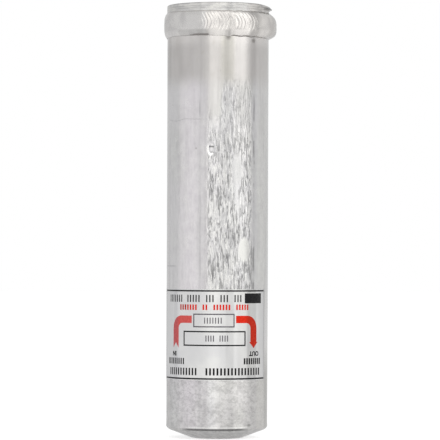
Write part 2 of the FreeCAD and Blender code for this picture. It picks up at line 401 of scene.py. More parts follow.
    def with_painted_light(self, colour, tones, where=1.0):
        """Paints reflections and shade into a colour, as lighter or darker upright zones, each from one angle
        to another.
        """
        for left, right, soft, factor in tones:
            colour = self.tint(colour, self.both(self.zone(left, right, soft), where), factor)
        return colour

    def relief(self, height, strength, depth):
        """Bump of a depth in metres."""
        node = self.add("ShaderNodeBump")
        node.inputs["Strength"].default_value = strength
        node.inputs["Distance"].default_value = depth
        self.plug(height, node.inputs["Height"])
        return node.outputs["Normal"]


# Shaping


def round_axis(radius, angle, z):
    return Vector((radius * math.sin(angle), -radius * math.cos(angle), z))


def angle_of(place):
    return math.atan2(place.x, -place.y)


def radius_of(place):
    return math.hypot(place.x, place.y)


def outline(bm, corners):
    """Wire in the XZ plane through (radius, z, reach of the rounding) corners."""
    dots = [bm.verts.new((radius, 0, z)) for radius, z, _ in corners]
    for here, ahead in zip(dots, dots[1:]):
        bm.edges.new((here, ahead))
    for dot, (_, _, reach) in zip(dots, corners):
        if reach:
            bmesh.ops.bevel(bm, geom=[dot], offset=reach, offset_type="OFFSET", affect="VERTICES",
                            segments=4, profile=0.5, material=-1)


def cut_wall(bm):
    """Divides the long edge of the can's outline into rows."""
    for edge in bm.edges[:]:
        length = edge.calc_length()
        if length > 2 * row_pitch and all(abs(v.co.x - can_radius) < 0.01 for v in edge.verts):
            bmesh.ops.subdivide_edges(bm, edges=[edge], cuts=round(length / row_pitch) - 1)


def spun(bm, columns):
    """Turns an outline once round the axis."""
    bmesh.ops.spin(bm, geom=bm.verts[:] + bm.edges[:], cent=(0, 0, 0), axis=(0, 0, 1), dvec=(0, 0, 0),
                   angle=2 * math.pi, steps=columns, use_merge=True)
    bmesh.ops.remove_doubles(bm, verts=bm.verts, dist=0.002)


def open_edges(bm, z):
    return [e for e in bm.edges if len(e.link_faces) < 2 and all(abs(v.co.z - z) < 0.001 for v in e.verts)]


def hole_rim(bm, x, y, radius, segments=64):
    """Edges of a circle in the port face."""
    made = bmesh.ops.create_circle(bm, cap_ends=False, radius=radius, segments=segments,
                                   matrix=Matrix.Translation((x, y, 0)))
    return list(dict.fromkeys(e for v in made["verts"] for e in v.link_edges))


def sunk(bm, rim, x, y, stations):
    """Extrudes a hole's rim through (radius, z) stations, and returns its last rim."""
    for radius, z in stations:
        made = bmesh.ops.extrude_edge_only(bm, edges=rim)["geom"]
        ring = {g for g in made if isinstance(g, bmesh.types.BMVert)}
        rim = [g for g in made if isinstance(g, bmesh.types.BMEdge) and set(g.verts) <= ring]
        for dot in ring:
            share = radius / math.hypot(dot.co.x - x, dot.co.y - y)
            dot.co = (x + (dot.co.x - x) * share, y + (dot.co.y - y) * share, z)
    return rim


def settle(bm, name, finish, stands_for=(), sharp=32):
    """Makes a modelled mesh a piece that rides on the drier."""
    bmesh.ops.scale(bm, vec=(MM, MM, MM), verts=bm.verts)
    for face in bm.faces:
        face.smooth = True
    mesh = bpy.data.meshes.new(name)
    bm.to_mesh(mesh)
    bm.free()
    mesh.set_sharp_from_angle(angle=math.radians(sharp))
    mesh.materials.append(finish)
    piece = bpy.data.objects.new(name, mesh)
    bpy.context.scene.collection.objects.link(piece)
    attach(piece, "root")
    if stands_for:
        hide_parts(*stands_for)


# Finishes


def wall_creases(f, plain):
    """Upright creases of the drawn wall: where they are, how strong, their folds and their fine lines."""
    jagged = f.calc("MULTIPLY", f.grain((150, 150, 60), detail=3.0), 0.02)
    lifted = f.calc("SUBTRACT", f.calc("ADD", f.z, jagged), f.both(f.zone(0.10, 1.7, 0.06), 0.028))
    smooth_above = f.both(f.fade(lifted, 0.188, 0.213, 1.0, 0.0), f.fade(f.z, *band_start, 1.0, 0.0))
    weaker_above = f.fade(f.z, 0.150, 0.205, 1.0, 0.45)
    smooth_foot = f.fade(f.z, 0.05, 0.08, 0.06, 1.0)
    front = f.between(f.angle, -0.20, 0.74, 0.05)
    patches = f.fade(f.grain((38, 38, 18)), 0.42, 0.58, 0.0, 0.8)
    behind = f.both(patches, f.fade(f.calc("ABSOLUTE", f.angle), 1.3, 1.6))
    round_wall = f.fade(f.either(behind, front), 0.0, 1.0, 0.08, 1.0)
    creased = f.both(smooth_above, weaker_above, smooth_foot, round_wall, plain)
    leaves = f.grain((820, 820, 135), detail=1.3, warp=0.8)
    lines = f.calc("ABSOLUTE", f.calc("SUBTRACT", f.grain((520, 520, 90), detail=1.0, warp=0.9), 0.5))
    breaks = f.fade(f.grain((560, 560, 150), detail=1.0), 0.47, 0.54)
    dash = f.both(f.fade(lines, 0.012, 0.058, 1.0, 0.0), breaks, creased)
    return smooth_above, front, creased, leaves, dash


def body_colour(f, blotches, streaks, cloudy):
    """Cool grey of the drawn wall below the smooth band, from the left round to the right, with painted light
    by angle.
    """
    colour = f.blend(f.fade(blotches, 0.3, 0.7), (0.51, 0.505, 0.51), (0.57, 0.57, 0.565))
    colour = f.blend(f.fade(cloudy, 0.35, 0.65, 0.0, 0.6), colour, (0.57, 0.56, 0.575))
    # Painted light: lighter upright zones on the left and at the right end, by angle, and a thin darker
    # upright line on the left.
    colour = f.tint(colour, f.between(f.angle, -0.86, -0.17, 0.08), (1.14, 1.12, 1.13))
    colour = f.tint(colour, f.between(f.angle, -0.66, -0.40, 0.08), (1.07, 1.06, 1.07))
    colour = f.tint(colour, f.between(f.angle, -0.38, -0.33, 0.02, 0.8), 0.92)
    colour = f.tint(colour, f.zone(0.88, 1.7, 0.04), (1.035, 1.035, 1.015))
    streaky = f.both(f.fade(streaks, 0.50, 0.64), f.fade(f.z, 0.03, 0.06, 0.06, 0.4))
    return f.tint(colour, streaky, 0.80)


def band_colour(f, blotches, streaks, cloudy):
    """Warm grey of the smooth band below the weld, with painted reflections and shade by angle."""
    colour = f.blend(f.fade(cloudy, 0.4, 0.6), (0.44, 0.425, 0.415), (0.475, 0.46, 0.45))
    colour = f.blend(f.fade(blotches, 0.58, 0.7, 0.0, 0.3), colour, (0.38, 0.36, 0.33))
    colour = f.tint(colour, f.fade(streaks, 0.50, 0.64, 0.0, 0.2), 0.82)
    # Painted highlight in the gap between the lamps' reflections, then painted reflections and shade by
    # angle.
    colour = f.tint(colour, f.between(f.angle, 0.06, 0.32, 0.06), (1.24, 1.24, 1.18))
    colour = f.with_painted_light(colour, band_painted_light)
    # Painted highlight right under the weld, beside that gap, and painted shade under the weld on the left.
    painted_highlight_angles = f.either(f.fade(f.angle, 0.10, 0.14, 1.0, 0.0), f.fade(f.angle, 0.27, 0.32, 0.0, 0.5),
                          f.fade(f.angle, 0.76, 0.84))
    by_weld = f.fade(f.z, *under_weld)
    colour = f.tint(colour, f.both(by_weld, painted_highlight_angles), 1.19)
    return f.tint(colour, f.both(by_weld, f.between(f.angle, -0.42, -0.20, 0.03)), 0.94)


def stain(f, place, most):
    """Share of an oval stain, which fades towards its rim."""
    return f.fade(f.oval(*place)[0], 0.2, 1.0, most, 0.0)


def foot_colour(f, colour, streaks):
    """Scuffed wall at the foot, darker towards the bottom, with painted reflections and shade by angle, a
    painted highlight line on the shoulder, a painted shade line under it, and the cone darkened with painted
    shade.
    """
    low_wall = f.fade(f.z, *foot_top, 1.0, 0.0)
    scuffed = f.both(low_wall, f.fade(f.zone(0.86, 1.7, 0.12), 0.0, 1.0, 1.0, 0.5))
    scuffs = f.grain((480, 480, 620), detail=4.0, rough=0.72)
    wide_scuffs = f.grain((190, 190, 230), detail=4.0, rough=0.65)
    fine_lines = f.fade(f.grain((80, 80, 900), detail=3.0), 0.55, 0.66, 0.0, 0.6)
    colour = f.tint(colour, f.both(f.fade(scuffs, 0.46, 0.60), scuffed), 0.84)
    colour = f.tint(colour, f.both(f.fade(wide_scuffs, 0.46, 0.60), scuffed), 0.86)
    colour = f.tint(colour, f.both(fine_lines, scuffed), 0.88)
    colour = f.tint(colour, low_wall, 0.935)
    colour = f.with_painted_light(colour, foot_painted_light, low_wall)
    colour = f.tint(colour, f.both(f.zone(-0.02, 1.7, 0.12), low_wall), (1.0, 0.995, 0.97))
    # Painted shade low on the front of the wall.
    low_front = f.both(f.between(f.angle, -0.32, 0.60, 0.05), f.fade(f.z, 0.017, 0.026, 1.0, 0.0))
    colour = f.tint(colour, low_front, 0.88)
    colour = f.blend(stain(f, corner_stain, 0.55), colour, (0.14, 0.14, 0.135))
    # Painted highlight along the shoulder's rounding.
    shoulder_painted_highlight = f.both(f.between(f.z, *shoulder_highlight, 0.0004), f.between(f.angle, -0.6, 0.6, 0.12, 0.6))
    colour = f.blend(shoulder_painted_highlight, colour, (0.75, 0.75, 0.74))
    # The cone keeps its own streaks and scuffs, in a colour darkened with painted shade.
    cone = f.blend(f.fade(streaks, 0.4, 0.6), (0.41, 0.405, 0.405), (0.50, 0.495, 0.49))
    cone = f.tint(cone, f.fade(scuffs, 0.45, 0.6), 0.9)
    colour = f.blend(f.fade(f.z, *cone_top, 0.85, 0.0), colour, cone)
    # Painted shade line under the shoulder's highlight.
    shoulder_painted_shade = f.both(f.between(f.z, *shoulder_line, 0.0004), f.between(f.angle, -0.68, 0.58, 0.16, 0.85))
    return f.blend(shoulder_painted_shade, colour, (0.07, 0.07, 0.07))


def ring_marks(f, colour, ring, along, up):
    """Painted highlight on the lit side of the ring dent's rim, and dark marks in the dent."""
    lit_side = f.fade(f.calc("ADD", along, up), -0.5, 0.1, 0.85, 0.0)
    # Painted highlight on the dent's lit rim.
    colour = f.blend(f.both(f.between(ring, 0.78, 1.2, 0.14), lit_side), colour, (0.92, 0.92, 0.9))
    upper_dark_mark = f.both(f.between(along, -0.7, 0.9, 0.15), f.between(up, 0.22, 0.52, 0.1, 0.8))
    second = f.both(f.between(along, -0.3, 1.0, 0.2), f.between(up, -0.75, -0.55, 0.08, 0.5))
    return f.blend(f.either(upper_dark_mark, second), colour, (0.1, 0.1, 0.1))


def scratches(f, wavering):
    """Scratches up the wall and round it."""
    upright = f.either(f.between(f.z, 0.0965, 0.142, 0.006, 0.35), f.between(f.z, 0.190, 0.197, 0.003, 0.8))
    upright = f.both(upright, f.between(wavering, -0.328, -0.302, 0.014))
    level = f.calc("ADD", f.z, f.calc("MULTIPLY", f.grain((70, 70, 70), detail=1.0), 0.004))
    high = f.both(f.between(level, 0.1890, 0.1895, 0.0002), f.between(f.angle, -1.3, -0.30, 0.06))
    low = f.both(f.between(f.z, 0.1011, 0.1020, 0.0003), f.between(f.angle, -1.7, -0.96, 0.05))
    return f.either(upright, f.calc("MULTIPLY", f.either(high, low), 0.6))


def can_finish():
    """Bare extruded aluminium: creased in the middle, smooth by the weld, scuffed at the foot, with painted
    reflections, highlights and shade in its colour.
    """
    f = Finish("bare_aluminium", (0.55, 0.545, 0.55), 0.8, 0.24)
    ring, ring_along, ring_up = f.oval(dent_angle, dent_z, dent_width, dent_height)
    rubbed = f.oval(*rubbed_spot)[0]
    _, smear_along, smear_up = f.oval(*slanted_smear)
    slanted = f.calc("ADD", smear_along, f.calc("MULTIPLY", smear_up, 1.27))
    smear = f.calc("SQRT", f.calc("ADD", f.both(slanted, slanted), f.both(smear_up, smear_up)))
    broad = f.oval(*broad_smear)[0]
    plain = f.both(f.fade(rubbed, 0.7, 1.1), f.fade(ring, 1.1, 1.6), f.fade(smear, 0.6, 1.2, 0.15, 1.0),
                   f.fade(broad, 0.6, 1.15, 0.12, 1.0))
    smooth_above, front, creased, leaves, dash = wall_creases(f, plain)
    calmer = f.calc("SUBTRACT", 1.0, f.between(f.angle, 0.36, 0.60, 0.06, 0.45))
    lit = f.both(f.fade(leaves, 0.5, 0.6), creased, calmer)
    shaded = f.both(f.fade(leaves, 0.40, 0.448, 1.0, 0.0), creased)

    blotches = f.grain((260, 260, 210), detail=4.0, rough=0.65)
    streaks = f.grain((330, 330, 20), detail=3.0)
    cloudy = f.grain((60, 60, 28), detail=3.0)
    wavering = f.calc("ADD", f.angle, f.calc("MULTIPLY", f.grain((90, 90, 60), detail=3.0), 0.06))
    body = body_colour(f, blotches, streaks, cloudy)
    # Painted reflections and shade by angle: darker on the smooth front and the upper right, a painted
    # highlight on the front, and a thin darker upright line.
    smooth_front_painted_shade = f.both(front, f.fade(smooth_above, 0.2, 0.9, 1.0, 0.0))
    body = f.tint(body, smooth_front_painted_shade, (0.96, 0.955, 0.93))
    front_painted_highlight = f.both(f.between(f.angle, -0.18, 0.09, 0.04), f.between(f.z, 0.06, 0.182, 0.008))
    body = f.tint(body, front_painted_highlight, 1.06)
    upper_right_painted_shade = f.both(f.between(f.angle, 0.34, 0.72, 0.06), f.fade(f.z, 0.150, 0.180))
    body = f.tint(body, upper_right_painted_shade, (0.95, 0.95, 0.93))
    body = f.with_painted_light(body, upper_painted_light, f.fade(f.z, 0.178, 0.192))
    body = f.tint(body, f.between(f.angle, -0.26, -0.20, 0.015), 0.92)
    # Painted highlights and painted shade on the lit and shaded sides of the creases.
    body = f.blend(f.calc("MULTIPLY", lit, 0.5), body, (0.71, 0.705, 0.68))
    body = f.blend(f.calc("MULTIPLY", shaded, 0.64), body, (0.21, 0.21, 0.205))
    # Painted shade on the right: a darker upright zone and a darker wavering line, where the lamps'
    # reflections leave a gap.
    body = f.tint(body, f.between(wavering, 0.66, 0.87, 0.04), 0.91)
    broken = f.fade(f.grain((60, 60, 110), detail=3.0), 0.42, 0.56, 0.1, 1.0)
    line = f.both(f.between(wavering, 0.798, 0.834, 0.014), f.between(f.z, 0.07, 0.20, 0.012), broken)
    low_shade = f.both(f.between(wavering, 0.735, 0.81, 0.03), f.between(f.z, 0.07, 0.117, 0.006), broken)
    body = f.tint(f.tint(body, line, 0.58), low_shade, 0.80)
    colour = f.blend(f.fade(f.z, *band_blend), body, band_colour(f, blotches, streaks, cloudy))
    # Fine crease lines: grooves in the bump, darkened in colour with painted shade.
    colour = f.blend(f.calc("MULTIPLY", dash, 0.66), colour, (0.16, 0.16, 0.165))
    colour = f.blend(f.fade(rubbed, 0.7, 1.1, 0.7, 0.0), colour, (0.555, 0.555, 0.53))
    in_smear = f.fade(broad, 0.5, 1.1, 1.0, 0.0)
    colour = f.blend(f.calc("MULTIPLY", in_smear, 0.5), colour, (0.60, 0.60, 0.59))
    # Painted shade on the smear's right part, where the right lamp's reflection falls.
    colour = f.tint(colour, f.both(in_smear, f.fade(f.angle, 0.30, 0.44)), 0.82)
    colour = foot_colour(f, colour, streaks)

    specks = f.fade(f.cells((75, 75, 60)), 0.022, 0.04, 0.5, 0.0)
    marks = f.either(specks, stain(f, band_stain, 0.65), stain(f, small_stain, 0.65))
    colour = f.blend(marks, colour, (0.14, 0.13, 0.12))
    scratch = scratches(f, wavering)
    colour = f.blend(f.calc("MULTIPLY", scratch, 0.5), colour, (0.2, 0.2, 0.21))
    colour = ring_marks(f, colour, ring, ring_along, ring_up)
    f.set("Base Color", colour)
    smoother = f.fade(f.z, *band_blend, 1.0, 0.92)
    f.set("Roughness", f.both(f.fade(blotches, 0.25, 0.75, 0.2, 0.28), smoother))

    height = f.both(f.calc("SUBTRACT", leaves, 0.5), creased)
    height = f.calc("SUBTRACT", height, f.calc("MULTIPLY", f.either(dash, scratch), 0.12))
    f.set("Normal", f.relief(height, 1.0, 0.0005))
    return f.material


def cap_finish():
    """Turned aluminium: fine rings that follow the tool, two of them darkened as lines with painted shade of
    their grooves, painted reflections and shade by angle, and painted shade on the lip and on the rim's top
    edge.
    """
    f = Finish("turned_aluminium", (0.56, 0.555, 0.55), 0.8, 0.3)
    out = f.calc("SQRT", f.calc("ADD", f.both(f.x, f.x), f.both(f.y, f.y)))
    on_wall = f.fade(out, 0.0290, 0.0297)
    rings = f.waves(f.calc("ADD", out, f.z), 0.0004)
    wall_patches = f.grain((160, 160, 420), detail=3.0)
    patches = f.calc("MULTIPLY_ADD", on_wall, f.calc("SUBTRACT", wall_patches, rings), rings)
    broken = f.fade(f.grain((110, 110, 200)), 0.4, 0.55, 0.35, 1.0)
    colour = f.blend(f.fade(patches, 0.4, 0.62), (0.485, 0.48, 0.475), (0.60, 0.595, 0.575))
    colour = f.with_painted_light(colour, cap_painted_light, on_wall)
    # Painted shade on the right side of the cap's wall.
    colour = f.tint(colour, f.both(f.zone(0.62, 1.7, 0.10), on_wall), (0.92, 0.90, 0.895))
    # Painted shade of two deeper turned grooves, as dark lines.
    lines = f.either(f.between(f.z, 0.2532, 0.2536, 0.0002), f.between(f.z, 0.2520, 0.2525, 0.0002))
    colour = f.blend(f.both(lines, on_wall, f.calc("MULTIPLY", broken, 0.4)), colour, (0.2, 0.19, 0.185))
    # Painted shade on the lip that stands out past the rim.
    colour = f.blend(f.fade(out, 0.0303, 0.0317, 0.0, 0.85), colour, (0.1, 0.1, 0.1))
    # Painted shade on the rounded top edge of the rim.
    colour = f.tint(colour, f.both(f.fade(f.z, 0.2547, 0.2551), f.fade(out, 0.0275, 0.0285)), 0.72)
    f.set("Base Color", colour)
    f.set("Roughness", f.fade(patches, 0.3, 0.7, 0.24, 0.38))
    f.set("Normal", f.relief(rings, 0.35, 0.0001))
    return f.material


def weld_finish():
    """Weld metal: bright on its ripples, with a satin skin, a dark seam at its upper edge, painted
    reflections and shade by angle, and a painted shadow along its lower edge.
    """
    f = Finish("weld_aluminium", (0.6, 0.595, 0.585), 0.85, 0.26)
    share = f.add("ShaderNodeAttribute", attribute_name="share").outputs["Fac"]
    skin = f.grain((420, 420, 420), detail=3.0)
    patches = f.grain((130, 130, 130), detail=3.0)
    broken = f.fade(f.grain((90, 90, 20)), 0.42, 0.6)
    colour = f.blend(f.fade(patches, 0.38, 0.62), (0.50, 0.49, 0.485), (0.58, 0.57, 0.56))
    colour = f.with_painted_light(colour, bead_painted_light)
    # Painted reflections and shade on the bead's lower half.
    colour = f.with_painted_light(colour, lower_bead_painted_light, f.fade(share, -0.42, -0.62))
    colour = f.tint(colour, f.zone(-0.23, 1.7), (1.0, 0.985, 0.965))
    # Painted shadow along the bead's lower edge: thick on the left, thin and faint further right.
    deep = f.calc("ADD", share, f.fade(f.angle, -0.66, -0.38, 0.14, 0.0))
    thick = f.calc("MULTIPLY", f.zone(-1.7, -0.18, 0.02), f.fade(deep, -0.78, -0.90, 0.0, 0.8))
    thin = f.calc("MULTIPLY", f.between(f.angle, 0.26, 0.62, 0.03), f.fade(share, -0.90, -0.97, 0.0, 0.75))
    weaker_right = f.fade(f.zone(0.65, 1.7), 0.0, 1.0, 1.0, 0.3)
    faint = f.both(f.fade(share, -0.93, -0.99, 0.0, 0.5), broken, weaker_right)
    colour = f.blend(f.either(thick, thin, faint), colour, (0.15, 0.135, 0.13))
    seam = f.both(f.fade(share, 0.90, 0.98, 0.0, 0.5), f.fade(f.zone(0.55, 1.7, 0.15), 0.0, 1.0, 1.0, 0.4))
    colour = f.blend(seam, colour, (0.26, 0.23, 0.21))
    f.set("Base Color", colour)
    f.set("Roughness", f.fade(skin, 0.3, 0.7, 0.2, 0.3))
    f.set("Normal", f.relief(skin, 0.06, 0.00008))
    return f.material


def foil_finish():
    """Metallised label foil, satin, with the can's creases just showing through, and painted reflections and
    shade by angle, with a painted shade line at its right edge.
    """
    f = Finish("label_foil", (0.65, 0.65, 0.665), 0.65, 0.36)
    waves = f.grain((300, 300, 120))
    clouds = f.grain((50, 50, 50), detail=3.0)
    colour = f.blend(f.fade(clouds, 0.4, 0.6), (0.61, 0.61, 0.63), (0.665, 0.665, 0.675))
    colour = f.with_painted_light(colour, foil_painted_light)
    colour = f.tint(colour, f.fade(f.angle, -0.9, -0.7), (1.0, 1.0, 0.975))
    f.set("Base Color", colour)
    f.set("Normal", f.relief(waves, 0.2, 0.0002))
    return f.material


def ink_finish(name, dark, light, side=1.0, turn=0.56):
    """Printed ink, a little thinner in places, with painted shade by a factor at the sides, from an angle on.
    """
    f = Finish(name, light, 0.0, 0.4)
    f.set("Specular IOR Level", 0.1)
    wear = f.grain((900, 900, 900), detail=3.0)
    colour = f.blend(f.fade(wear, 0.35, 0.7), dark, light)
    # Painted shade on the print at the sides.
    f.set("Base Color", f.tint(colour, f.fade(f.calc("ABSOLUTE", f.angle), turn, turn + 0.12), side))
    f.set("Normal", f.relief(wear, 0.1, 0.00005))
    return f.material


# Can


def relief_of_wall(place):
    """How far the drawn wall sinks at a place, in millimetres."""
    if not waves_low <= place.z <= waves_high:
        return 0.0
    rough = min(max((shallow_from - place.z) / shallow_over, 0.15), 1.0)
    long_wave = noise.noise(Vector((place.x / 7, place.y / 7, place.z / 30)))
    short_wave = noise.noise(Vector((place.x / 2.6, place.y / 2.6, place.z / 9 + 40)))
    return rough * (long_depth * (1 + long_wave) + short_depth * (1 + short_wave))


def dent_sink(angle, z):
    """Ring dent with a raised middle."""
    away = math.hypot((angle - dent_angle) * can_radius / dent_width, (z - dent_z) / dent_height)
    return dent_depth * math.exp(-((away - dent_ring) / dent_soft) ** 2)


def can_piece(finish):
    bm = bmesh.new()
    outline(bm, [
        (face_radius, 0, 0),
        (foot_radius, 0, foot_chamfer),
        (can_radius, shoulder_height, shoulder_reach),
        (can_radius, can_length - rim_chamfer, 0),
        (land_radius, can_length, 0),
        (bore_radius, can_length, 0),
        (bore_radius, head_depth, floor_rounding),
        (floor_radius, head_depth, 0),
    ])
    cut_wall(bm)
    spun(bm, can_columns)
    inlet = hole_rim(bm, inlet_x, 0, port_radius + port_lead_in)
    outlet = hole_rim(bm, outlet_x, 0, port_radius + port_lead_in)
    bolt = hole_rim(bm, 0, bolt_y, bolt_radius + bolt_lead_in, 32)
    bmesh.ops.triangle_fill(bm, use_beauty=True, use_dissolve=False, edges=open_edges(bm, 0))
    mouth = [(port_radius, port_lead_in), (port_radius, port_depth)]
    sunk(bm, inlet, inlet_x, 0, mouth + [(passage_radius, port_depth), (passage_radius, head_depth)])
    sunk(bm, outlet, outlet_x, 0, mouth + [
        (tube_hole_radius, port_depth),
        (tube_hole_radius, tube_seat_z),
        (tube_seat_radius, tube_seat_z),
        (tube_seat_radius, seal_seat_z),
        (seal_seat_radius, seal_seat_z),
        (seal_seat_radius, head_depth),
    ])
    thread = []
    for turn in range(thread_turns):
        low = bolt_lead_in + turn
        thread += [(bolt_radius, low), (bolt_radius + thread_depth, low + 0.5)]
    bolt = sunk(bm, bolt, 0, bolt_y, thread + [(bolt_radius, thread_end), (bolt_radius, bolt_depth)])
    bmesh.ops.poke(bm, faces=bmesh.ops.edgeloop_fill(bm, edges=bolt)["faces"])
    bmesh.ops.triangle_fill(bm, use_beauty=True, use_dissolve=False, edges=open_edges(bm, head_depth))
    centre = round_axis(can_radius, dent_angle, dent_z)
    near = [e for e in bm.edges if all((v.co - centre).length < dent_reach for v in e.verts)]
    bmesh.ops.subdivide_edges(bm, edges=near, cuts=2, use_grid_fill=True)
    for vert in bm.verts:
        if radius_of(vert.co) > can_radius - 0.2:
            angle, z = angle_of(vert.co), vert.co.z
            sink = relief_of_wall(vert.co)
            if (vert.co - centre).length < dent_reach:
                sink += dent_sink(angle, z)
            vert.co = round_axis(can_radius - sink, angle, z)
    bmesh.ops.recalc_face_normals(bm, faces=bm.faces)
    settle(bm, "can_shell", finish, ["can_body"])


# Cap


def lip_share(angle):
    """How far the rim is knocked out into a lip, which it is at the outlet side only."""
    away = min(abs(angle - lip_angle) / lip_spread, 1.0)
    return (1 - away * away) ** 2


def lip_reach_at(angle, z):
    """Reach of the lip: it slopes out from the cap's top to its edge, and goes back in under it."""
    slope = (lip_top - z) / (lip_top - lip_z) if z > lip_z else 1 - (lip_z - z) / lip_under
    ragged = 1 + 0.25 * noise.noise(Vector((angle * 14, 3.0, 0.0)))
    return lip_reach * ragged * lip_share(angle) * max(0.0, slope)


def cap_piece(finish):
    bm = bmesh.new()
    rows = (251.0, 252.0, lip_z - lip_under, 252.7, 252.9, lip_z, 253.5)
    outline(bm, [
        (0, ceiling, 0),
        (spigot_bore, ceiling, 2.0),
        (spigot_bore, spigot_low, 0),
        (spigot_radius, spigot_low, 0.6),
        (spigot_radius, can_length, 0),
        (land_radius, can_length, 0),
        (cap_radius, can_length + cap_chamfer, 0),
        *((cap_radius, z, 0) for z in rows),
        (cap_radius, groove_z - groove_reach, 0),
        (cap_radius - groove_depth, groove_z, 0),
        (cap_radius, groove_z + groove_reach, 0),
        (cap_radius, cap_top, 0.8),
        (rim_inside, cap_top, 0),
        (dish_radius + dish_depth, cap_top, 0.25),
        (dish_radius, cap_top - dish_depth, 0.3),
        (0, cap_top - dish_depth, 0),
    ])
    spun(bm, can_columns)
    for vert in bm.verts:
        radius, angle, z = radius_of(vert.co), angle_of(vert.co), vert.co.z
        if radius > rim_inside + 0.1 and z > lip_z - lip_under - 0.01:
            down = rim_drop * lip_share(angle) * max(0.0, (z - lip_z) / (cap_top - lip_z))
            vert.co = round_axis(radius + lip_reach_at(angle, z), angle, z - down)
    bmesh.ops.recalc_face_normals(bm, faces=bm.faces)
    settle(bm, "turned_cap", finish, ["end_cap"])


# Weld bead


def overlap_lump(angle, share):
    """Rise where the end of the bead lies over its start."""
    if not overlap_start < angle < overlap_end:
        return 0.0
    ramp = min(1.0, (angle - overlap_start) / overlap_ramp)
    squareness = 6.0 if share < 0 else 2.4
    return overlap_rise * ramp * math.sin(angle) * (1 - abs(share) ** squareness)


def ripple_sink(angle, share):
    """Hollow between the weld's ripples, which are crescents that bulge towards the outlet side."""
    pitch = 2 * math.pi / ripple_count
    turned = (angle - ripple_bulge / can_radius * (1 - abs(share) ** 1.6)) / pitch
    turned += 0.18 * noise.noise(Vector((angle * 14, share * 1.3, 5.0)))
    part = turned % 1.0
    which = math.floor(turned)
    depth = ripple_depth * (0.75 + 0.5 * noise.noise(Vector((which * 0.73, share, 9.0))))
    in_front = min((angle - deep_from) / 0.1, (deep_to - angle) / 0.09)
    behind = (abs(angle) - 1.5) / 0.3
    depth *= max(0.2, min(1.0, max(in_front, behind)))
    valley = part / ripple_crest if part < ripple_crest else (1 - part) / (1 - ripple_crest)
    return depth * (1 - valley * valley * (3 - 2 * valley)) * (1 - 0.3 * abs(share) ** 3)


def bead_place(angle, share):
    """Place on the bead's skin, from its lower edge (share -1) to its upper edge (share 1)."""
    low = bead_height + low_extra + low_change * math.sin(2 * angle)
    high = bead_height - bead_change * math.cos(angle)
    edge_wave = 0.35 * noise.noise(Vector((angle * 8, share, 1.0))) * abs(share) ** 4
    z = can_length + share * (low if share < 0 else high) + edge_wave
    face = can_radius + (cap_radius - can_radius) * (share + 1) / 2 + 0.02
    proud = (bead_proud + can_radius - face) * (1 - abs(share) ** 4)
    radius = face + proud + overlap_lump(angle, share)
    radius -= ripple_sink(angle, share) * min(1.0, 5 * (1 - abs(share)))
    radius += 0.08 * noise.noise(Vector((angle * 11, share * 3, 2.0))) * (1 - share * share)
    return round_axis(radius, angle, z)


def bead_piece(finish):
    bm = bmesh.new()
    layer = bm.verts.layers.float.new("share")
    outside = []
    for row in range(bead_rows + 1):
        share = math.sin(math.pi * (row / bead_rows - 0.5))
        dot = bm.verts.new((can_radius + 2, 0, can_length + bead_height * share))
        dot[layer] = share
        outside.append(dot)
    root = []
    for radius, z in ((cap_radius, root_top), (land_radius, can_length), (can_radius, root_low)):
        dot = bm.verts.new((radius, 0, z))
        dot[layer] = root_share
        root.append(dot)
    ring = outside + root
    for here, ahead in zip(ring, ring[1:] + ring[:1]):
        bm.edges.new((here, ahead))
    spun(bm, bead_columns)
    for vert in bm.verts:
        if vert[layer] < root_share:
            vert.co = bead_place(angle_of(vert.co), vert[layer])
        else:
            vert.co = round_axis(radius_of(vert.co) + root_gap, angle_of(vert.co), vert.co.z)
    bmesh.ops.recalc_face_normals(bm, faces=bm.faces)
    settle(bm, "weld_ripples", finish, ["weld_bead"], sharp=60)


# Label


def wrapped(bm, name, finish, low, high, stands_for=()):
    """Bends a flat shape, x along the arc and y up, round the can, and gives it its thickness."""
    steps = int(max(abs(v.co.x) for v in bm.verts) / bend_step) + 1
    for step in range(-steps, steps + 1):
        bmesh.ops.bisect_plane(bm, geom=bm.verts[:] + bm.edges[:] + bm.faces[:], dist=0.0005,
                               plane_co=(step * bend_step, 0, 0), plane_no=(1, 0, 0))
    made = bmesh.ops.extrude_face_region(bm, geom=bm.faces[:])["geom"]
    bmesh.ops.translate(bm, vec=(0, 0, 1), verts=[g for g in made if isinstance(g, bmesh.types.BMVert)])
    for vert in bm.verts:
        vert.co = round_axis(low + (high - low) * vert.co.z, vert.co.x / can_radius, vert.co.y)
    bmesh.ops.recalc_face_normals(bm, faces=bm.faces)
    settle(bm, name, finish, stands_for)


def bar(bm, left, low, width, height):
    """Flat rectangle."""
    corners = ((left, low), (left + width, low), (left + width, low + height), (left, low + height))
    face = bm.faces.new([bm.verts.new((x, y, 0)) for x, y in corners])
    face.normal_update()
    return face


def box_line(bm, left, low, width, height, line):
    """Frame of a box: an outer rectangle, inset, without its middle."""
    face = bar(bm, left, low, width, height)
    bmesh.ops.inset_region(bm, faces=[face], thickness=line, use_boundary=True, use_even_offset=True)
    bmesh.ops.delete(bm, geom=[face], context="FACES_ONLY")


def foil_piece(finish):
    bm = bmesh.new()
    left, right = label_left * can_radius, label_right * can_radius
    bar(bm, left, label_low, right - left, label_height)
    wrapped(bm, "foil_label", finish, can_radius, foil_radius, ["label"])


def round_corner(x, y, radius, steps):
    """Points of a corner's rounding, from its level side down to its upright side."""
    turns = [math.radians(90 * step / steps) for step in range(steps + 1)]
    return [(x - radius * (1 - math.sin(turn)), y - radius * (1 - math.cos(turn))) for turn in turns]


